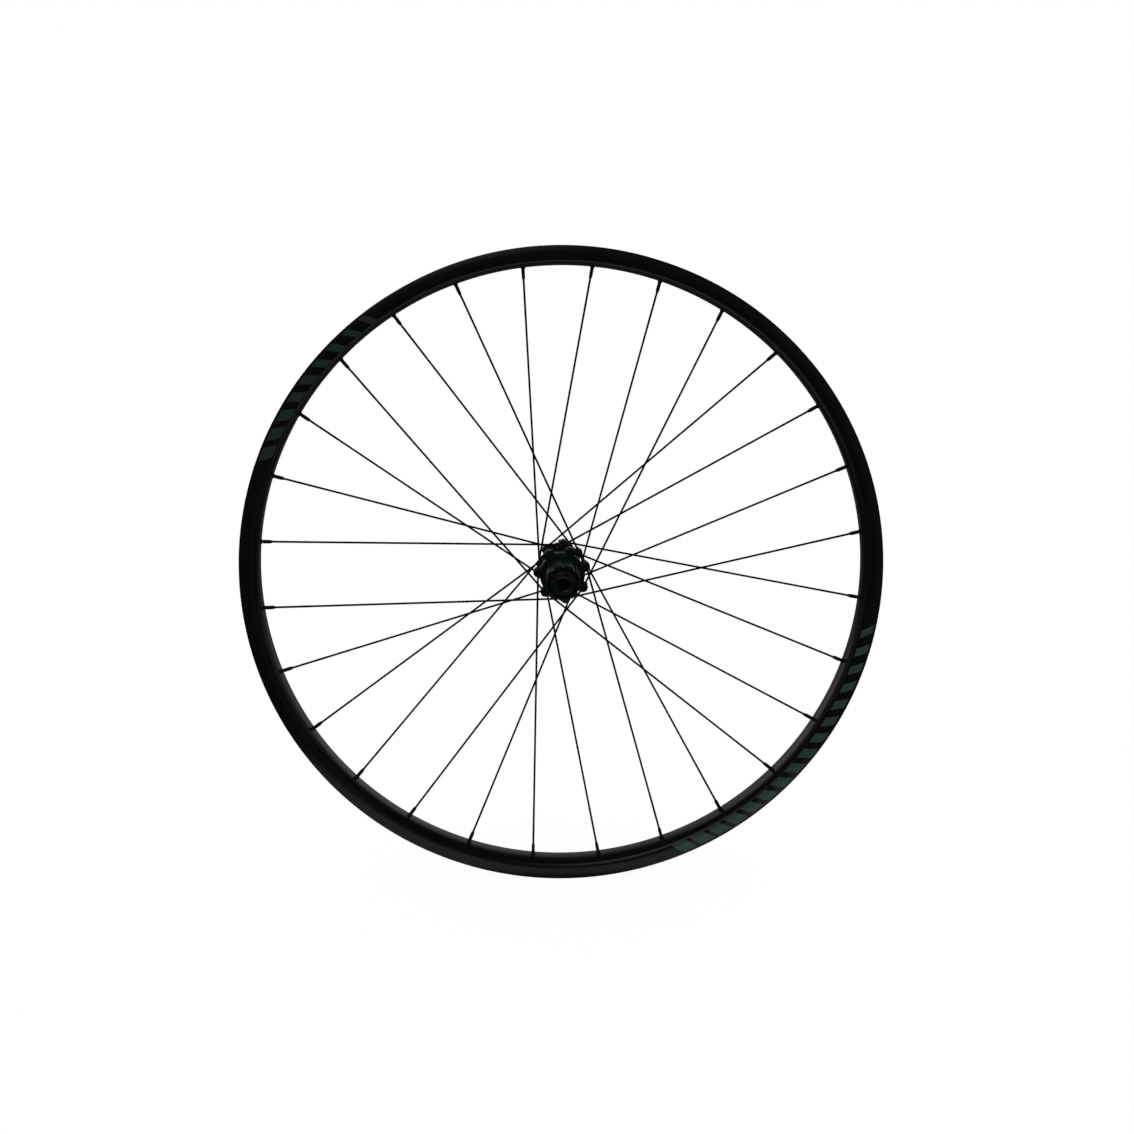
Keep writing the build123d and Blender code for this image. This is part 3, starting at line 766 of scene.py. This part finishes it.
print("a curve of 14 steps has", len(eased((0, 0), (1, 1), 14)), "points")

# %% Make the hub shell
# The shell's profile as (radius, y): outside from the ratchet's mouth over the drive barrel, the
# waist, the brake barrel and the rotor's shoulder, then back through the bearing seats.
barrel = np.concatenate([
    [(17.5, -30.5)], arc((20.4, -29.9), 0.6, -90, 0, 4), [(21.0, -19.4)],
    eased((21.0, -19.0), (13.0, -6.0), 14), eased((13.0, 6.0), (16.5, 27.0), 14),
    [(16.5, 41.9)], arc((17.1, 41.9), 0.6, 180, 90, 3), arc((19.0, 43.0), 0.5, -90, 0, 4),
    arc((19.0, 45.5), 0.5, 0, 90, 4),
    [(16.2, 46.0), (16.2, 54.6), (15.8, 55.0), (15.3, 55.0), (15.0, 54.7), (15.0, 51.0),
     (14.0, 51.0), (14.0, 44.0), (11.0, 44.0), (11.0, -14.0), (14.0, -14.0), (14.0, -22.4),
     (17.5, -22.4)],
])
FLANGE_EASE, SPLINE_EASE = 1.8, 0.25
hub_rings = [
    turn(barrel, round_turn(140)),
    carried(drive_flange, inner_r=18.5, low_y=-30.0, high_y=-18.7, ease=FLANGE_EASE),
    carried(disc_flange, inner_r=15.5, low_y=26.5, high_y=38.1, ease=FLANGE_EASE),
    carried(rotor_spline, inner_r=15.6, low_y=45.8, high_y=54.9, ease=SPLINE_EASE),
]
hub_grids = [(ring, True, True) for ring in hub_rings]
make_piece("hub_shell_body", hub_grids, "wheel", hub_black, ["hub_shell"])

# %% [markdown]
# ## End caps
# Both caps are plain turned pieces that push onto the axle. Their edges are broken by the
# turning tool, so each corner of the profile is a small arc. The bore runs right through for the
# frame's axle.

# %% Make the end caps
# Profiles as (radius, y): each goes round the cap's section once.
CAP_TURN = round_turn(96)
drive_cap = np.concatenate([
    [(6.05, -73.1), (6.2, -73.35), (7.6, -73.9), (7.9, -74.0)],
    arc((9.4, -73.4), 0.6, -90, 0, 4), arc((9.6, -69.4), 0.4, 0, 90, 3),
    [(9.0, -69.0), (9.0, -62.5), (7.5, -62.5), (7.5, -69.0), (6.05, -69.0)],
])
disc_cap = np.concatenate([
    [(7.5, 51.0), (9.0, 51.0), (9.0, 53.0), (13.2, 53.0)], arc((13.2, 53.3), 0.3, -90, 0, 2),
    arc((13.1, 54.6), 0.4, 0, 90, 3), arc((10.8, 55.8), 0.8, -90, -180, 4),
    arc((9.4, 73.4), 0.6, 0, 90, 4),
    [(7.9, 74.0), (7.6, 73.9), (6.2, 73.35), (6.05, 73.1), (6.05, 69.0), (7.5, 69.0)],
])
make_piece("drive_cap_turned", [(turn(drive_cap, CAP_TURN), True, True)], "axle",
           cap_black, ["drive_end_cap"])
make_piece("disc_cap_turned", [(turn(disc_cap, CAP_TURN), True, True)], "axle",
           cap_black, ["disc_end_cap"])

# %% [markdown]
# ## Bearing seals
# Each cartridge bearing is closed by a moulded ring that sits in its outer race, just clear of
# the inner one. Only the two outermost can be seen, past the end caps. A seal is a flat ring with
# a lip and a groove, so a short profile turned about the axle is all it needs.

# %% Make the bearing seals
# Across a seal: the share of its width, and the height over the bearing's face in mm.
SEAL_STEPS = np.array([
    (0.0, -0.35), (0.0, 0.02), (0.12, 0.08), (0.30, 0.08), (0.40, 0.0), (0.55, 0.0),
    (0.65, 0.06), (0.92, 0.06), (1.0, 0.0), (1.0, -0.35),
])


def seal_profile(face_y, way, inner_r, outer_r):
    """A flat ring with a raised lip at its inner edge and a shallow groove: the radius by the
    share of the width, and y from face_y outwards by the height."""
    share, height = SEAL_STEPS.T
    return np.stack([inner_r + share * (outer_r - inner_r), face_y + way * height], -1)


driver_profile = seal_profile(face_y=-62.5, way=-1, inner_r=9.95, outer_r=11.9)
driver_seal = turn(driver_profile, CAP_TURN)
make_piece("driver_bearing_seal", [(driver_seal, True, True)], "freehub",
           seal_rubber)
disc_profile = seal_profile(face_y=51.0, way=1, inner_r=10.95, outer_r=13.9)
disc_seal = turn(disc_profile, CAP_TURN)
make_piece("disc_bearing_seal", [(disc_seal, True, True)], "wheel", seal_rubber)

# %% [markdown]
# ## Lockring threads
# Fine threads in the mouths of the driver and the shell take the lockrings. A cut thread is a
# groove, but a ridge added to the plain bore looks the same and leaves the bore as it is. One
# small section carried along a helix makes it.

# %% Make the lockring threads
# Points in a turn. The ridge grows to full height over one part in THREAD_FADE of a turn.
THREAD_STEPS, THREAD_FADE = 72, 6
# How far the ridge's foot is sunk into the bore's wall, in mm.
SUNK = 0.06
# Across the ridge, in pitches.
RIDGE = np.array([-0.46, -0.08, 0.08, 0.46])


def inner_thread(bore_r, low_y, high_y, pitch, depth):
    """A ridge with a narrow flat top on a helix: y grows by one pitch a turn, and the ridge
    fades out at both ends."""
    turns = (high_y - low_y) / pitch - 1
    share = np.linspace(0, 1, int(turns * THREAD_STEPS))[:, None]
    a = share * turns * 2 * np.pi
    y = low_y + pitch / 2 + share * turns * pitch
    fade = np.clip(np.minimum(share, 1 - share) * turns * THREAD_FADE, 0.02, 1)
    r = bore_r - np.array([-SUNK, depth, depth, -SUNK]) * fade
    return np.stack([r * np.cos(a), y + RIDGE * pitch * fade, r * np.sin(a)], -1)


def capped(tube):
    """The same tube with both ends drawn together to a point, so that it is closed."""
    ends = tube[[0, -1]].mean(1, keepdims=True).repeat(tube.shape[1], 1)
    return np.concatenate([ends[:1], tube, ends[1:]])


sprocket_thread = inner_thread(bore_r=15.0, low_y=-67.7, high_y=-62.7, pitch=1.0, depth=0.5)
make_piece("sprocket_lockring_thread", [(capped(sprocket_thread), False, True)], "freehub",
           driver_grey)
rotor_thread = inner_thread(bore_r=15.0, low_y=51.2, high_y=54.7, pitch=1.0, depth=0.5)
make_piece("rotor_lockring_thread", [(capped(rotor_thread), False, True)], "wheel",
           hub_black)

# %% [markdown]
# ## Pawl springs
# Inside the hub a leaf of spring steel holds each pawl out against the ratchet and gives way
# when the pawl folds.

# %% Shape of a pawl spring
# Drawn as (x, z) with the pawl's tooth on X: both ends, and unit normals of leaf and pocket.
LEAF_FOOT, LEAF_TIP = np.array([9.37, 3.91]), np.array([12.84, 0.20])
LEAF_UP, POCKET_UP = np.array([0.730, 0.683]), np.array([0.843, 0.538])
# Middle along the axle, width, thickness and bow in mm, and points along the strip.
LEAF_Y, LEAF_W, LEAF_T, LEAF_BOW, LEAF_POINTS = -26.0, 5.2, 0.3, 0.1, 13
# Round the strip's section: the share of its thickness and of its width.
LEAF_THICK = np.array([0.15, 0, 0, 0.15, 0.85, 1, 1, 0.85])
LEAF_ACROSS = np.array([-0.5, -0.49, 0.49, 0.5, 0.5, 0.49, -0.49, -0.5])


def turned(flat, angle):
    """A point drawn with its pawl's tooth on X, as (x, z), turned about the axle by an angle in
    degrees."""
    a = math.radians(angle)
    return np.stack([flat[..., 0] * math.cos(a) - flat[..., 1] * math.sin(a),
                     flat[..., 0] * math.sin(a) + flat[..., 1] * math.cos(a)], -1)


def leaf(angle):
    """A strip with eased edges: the line from foot to tip, plus the bow's half sine and the
    thickness along up."""
    share = np.linspace(0, 1, LEAF_POINTS)[:, None]
    lift = LEAF_THICK * LEAF_T + LEAF_BOW * np.sin(np.pi * share)
    flat = (LEAF_FOOT + share * (LEAF_TIP - LEAF_FOOT))[:, None] + lift[..., None] * LEAF_UP
    x, z = np.moveaxis(turned(flat, angle), -1, 0)
    return np.stack([x, LEAF_Y + LEAF_ACROSS * LEAF_W + 0 * x, z], -1)


print("a spring is", round(float(np.linalg.norm(LEAF_TIP - LEAF_FOOT)), 2), "mm long")

# %% Make the pawl springs
PAWL_ANGLES = (90, 210, 330)
for number, angle in enumerate(PAWL_ANGLES, start=1):
    spring = make_piece(f"pawl_leaf_{number}", [(capped(leaf(angle)), False, True)], "freehub",
                        ratchet_steel, [f"pawl_spring_{number}"])
    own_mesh(spring)

# %% [markdown]
# ## Solids that stay
# The driver, the axle and the working parts inside the hub already have their true shape, so
# they are shown as they are, each with its own finish.

# %% Finishes on the solids
by_slot = {
    "axle_black": cap_black, "freehub_black": driver_grey, "bearing_steel": bearing_steel,
    "ratchet_steel": ratchet_steel, "seal_rubber": seal_rubber, "hub_black": hub_black,
    "rim_black": rim_black, "spoke_black": spoke_black, "nipple_black": nipple_black,
}
for part in frame["record"]["subparts"]:
    solid = frame["nodes"][part["node"]]
    coat = axle_black if part["node"] == "axle" else by_slot[part["material_slot"]]
    solid.data.materials.clear()
    solid.data.materials.append(coat)

# %% [markdown]
# ## Studio
# The wheel stands on a small white floor in a white room, and all of it is plain white to the
# camera. A black part shows hardly any colour of its own, only what it mirrors. A room that is
# white all round would turn the whole wheel grey, so the mirror rays see a room with more shape:
# dim in front, with a bright low band behind, and soft boxes in front, behind and at
# both sides. That leaves thin lights on the hub and the edges of the rim.
#
# The floor still takes a faint shadow. In mirror rays its colour is painted grey from just in
# front of the wheel backwards, a painted shade, so it is bright only in front of the wheel, which
# lights the lower side wall and leaves the bed of the rim dark.

# %% Floor
FLOOR_R, FLOOR_RINGS, FLOOR_SIDES = 0.42, 9, 72
# In metres from the wheel's centre: where the floor starts and ends its change to pure white for
# the camera, with the share of white at each, and where along Y its colour turns grey for mirror
# rays, a painted shade under and behind the wheel.
TO_WHITE = (0.20, 0.41, 0.90, 1.0)
TO_PAINTED_SHADE = (-0.035, -0.018)
floor_z = cad_box[0][2]
spread = np.linspace(0, FLOOR_R, FLOOR_RINGS)[:, None]
around = round_turn(FLOOR_SIDES)
level = np.full((FLOOR_RINGS, FLOOR_SIDES), floor_z)
sheet = np.stack([spread * np.cos(around), spread * np.sin(around), level], -1)
floor_mesh = bpy.data.meshes.new("floor")
floor_mesh.from_pydata(sheet.reshape(-1, 3).tolist(), [],
                       quads(FLOOR_RINGS, FLOOR_SIDES, False, True).tolist())
floor = bpy.data.objects.new("floor", floor_mesh)
bpy.context.scene.collection.objects.link(floor)
print("floor at", round(floor_z, 4), "m")

# %% Paper on the floor
paper = bpy.data.materials.new("white_paper_with_painted_shade")
paper.use_nodes = True
tree = paper.node_tree
tree.nodes.clear()
place = node(tree, "ShaderNodeTexCoord")["Object"]
out = node(tree, "ShaderNodeVectorMath", place, operation="LENGTH")["Value"]
fade = node(tree, "ShaderNodeMapRange", out, *TO_WHITE, interpolation_type="SMOOTHSTEP")[0]
ray = node(tree, "ShaderNodeLightPath")
share = node(tree, "ShaderNodeMath", ray["Is Camera Ray"], fade, operation="MULTIPLY")[0]
# Painted shade: for mirror rays the paper's colour turns grey from just in front of the wheel
# backwards.
y = node(tree, "ShaderNodeSeparateXYZ", place)["Y"]
rear = node(tree, "ShaderNodeMapRange", y, *TO_PAINTED_SHADE)[0]
painted_shade_in_mirrors = node(tree, "ShaderNodeMath", ray["Is Glossy Ray"], rear, operation="MULTIPLY")[0]
a, b, result = MIX["RGBA"]
tone = node(tree, "ShaderNodeMix", data_type="RGBA",
            named={0: painted_shade_in_mirrors, a: linear("#f4f4f4"), b: linear("#707070")})[result]
matt = node(tree, "ShaderNodeBsdfDiffuse", tone)[0]
glow = node(tree, "ShaderNodeEmission", named={"Strength": 1.0})[0]
node(tree, "ShaderNodeOutputMaterial", node(tree, "ShaderNodeMixShader", share, matt, glow)[0])
floor_mesh.materials.append(paper)
print("paper nodes", len(tree.nodes))

# %% [markdown]
# ## World
# The world is white to the camera and an even soft light on matt surfaces. For mirror rays its
# strength follows the ray's direction: a band behind the wheel, brightest a little above the
# horizon, and a faint patch in front.

# %% World
WHITE = (1, 1, 1, 1)
SOFT_LIGHT = 0.8
# The middle of the band and of the patch, as directions, and the band's height.
BAND_WAY, PATCH_WAY, BAND_RISE = (0.35, 0.94, 0.0), (0.45, -0.89, 0.0), 0.2
# How strength follows the cosine to the middle, or the distance from the band's height: from and
# to, then the strength or share at each.
BAND_LEVEL, BAND_SHARE = (0.50, 0.95, 0.02, 0.34), (0.12, 0.36, 1.0, 0.2)
PATCH_LEVEL = (0.90, 0.98, 0.0, 0.12)
world = bpy.data.worlds.new("studio")
bpy.context.scene.world = world
world.use_nodes = True
tree = world.node_tree
tree.nodes.clear()
ray = node(tree, "ShaderNodeLightPath")
mirrored = node(tree, "ShaderNodeMath", ray["Is Glossy Ray"], ray["Is Transmission Ray"],
                operation="MAXIMUM")[0]
way = node(tree, "ShaderNodeTexCoord")["Generated"]
behind = node(tree, "ShaderNodeVectorMath", way, BAND_WAY, operation="DOT_PRODUCT")["Value"]
level = node(tree, "ShaderNodeMapRange", behind, *BAND_LEVEL)[0]
z = node(tree, "ShaderNodeSeparateXYZ", way)["Z"]
rise = node(tree, "ShaderNodeMath", z, BAND_RISE, operation="SUBTRACT")[0]
above = node(tree, "ShaderNodeMath", rise, operation="ABSOLUTE")[0]
band = node(tree, "ShaderNodeMapRange", above, *BAND_SHARE)[0]
front = node(tree, "ShaderNodeVectorMath", way, PATCH_WAY, operation="DOT_PRODUCT")["Value"]
patch = node(tree, "ShaderNodeMapRange", front, *PATCH_LEVEL)[0]
sweep = node(tree, "ShaderNodeMath", level, band, patch, operation="MULTIPLY_ADD")[0]
soft, mirror_room, white = (
    node(tree, "ShaderNodeBackground", named={"Color": WHITE, "Strength": strength})[0]
    for strength in (SOFT_LIGHT, sweep, 1.0))
room = node(tree, "ShaderNodeMixShader", mirrored, soft, mirror_room)[0]
seen = node(tree, "ShaderNodeMixShader", ray["Is Camera Ray"], room, white)[0]
node(tree, "ShaderNodeOutputWorld", seen)
print("world nodes", len(tree.nodes))

# %% [markdown]
# ## Lamps
# Square soft boxes stand round the wheel and face its middle. The one overhead is only for the
# floor's shadow: its mirror image would lie along the whole bed of the rim, so it is hidden from
# mirror rays.


# %% Lamps
def lamp(name, place, size, watts):
    """A square soft box that faces the wheel's middle: it tilts by the angle between straight
    down and its gaze, then turns to the gaze's heading."""
    data = bpy.data.lights.new(name, "AREA")
    data.size = size
    data.energy = watts
    made = bpy.data.objects.new(name, data)
    gaze = -np.array(place, float)
    tilt = math.acos(-gaze[2] / np.linalg.norm(gaze))
    made.location = place
    made.rotation_euler = (tilt, 0, math.atan2(gaze[1], gaze[0]) - math.pi / 2)
    bpy.context.scene.collection.objects.link(made)
    return made


lamp("top_box", place=(0.2, 1.1, 2.0), size=1.4, watts=6).visible_glossy = False
lamp("front_box", place=(-0.6, -1.85, 1.5), size=1.4, watts=9)
lamp("rear_box", place=(-1.5, 2.1, 0.65), size=1.6, watts=3.6)
lamp("right_box", place=(2.4, 0.1, 0.4), size=1.4, watts=3.0)
lamp("left_box", place=(-2.4, 0.1, 0.4), size=1.4, watts=2.5)
print("lamps", len(bpy.data.lights))

# %% [markdown]
# ## Camera
# The picture was taken from a little above the axle and almost square to the wheel, about 1.8 m
# away. The lens follows from the image: its focal length in pixels is 1.01 times the distance in
# millimetres, in a frame of 1134 pixels. The wheel sits a few pixels left of and below the
# middle.

# %% Make the camera
FRAME_PX, SENSOR_MM = 1134, 36.0
# Distance in metres, and pixels to a millimetre at the wheel's centre.
DISTANCE, PX_PER_MM = 1.7845, 1.0093
FOCAL_PX = PX_PER_MM * DISTANCE * 1000
SHIFT_PX = (5.2, 2.6)
azimuth, elevation = math.radians(-1.20), math.radians(11.11)
data = bpy.data.cameras.new("camera")
data.sensor_width = SENSOR_MM
data.sensor_fit = "HORIZONTAL"
data.lens = FOCAL_PX / FRAME_PX * SENSOR_MM
data.shift_x, data.shift_y = (pixels / FRAME_PX for pixels in SHIFT_PX)
data.clip_end = 100.0
camera = bpy.data.objects.new("camera", data)
level_distance = DISTANCE * math.cos(elevation)
camera.location = (level_distance * math.sin(azimuth), -level_distance * math.cos(azimuth),
                   DISTANCE * math.sin(elevation))
camera.rotation_euler = (math.pi / 2 - elevation, 0, azimuth)
bpy.context.scene.collection.objects.link(camera)
bpy.context.scene.camera = camera
bpy.context.scene.view_settings.view_transform = "Standard"
print("lens", round(data.lens, 2), "mm")
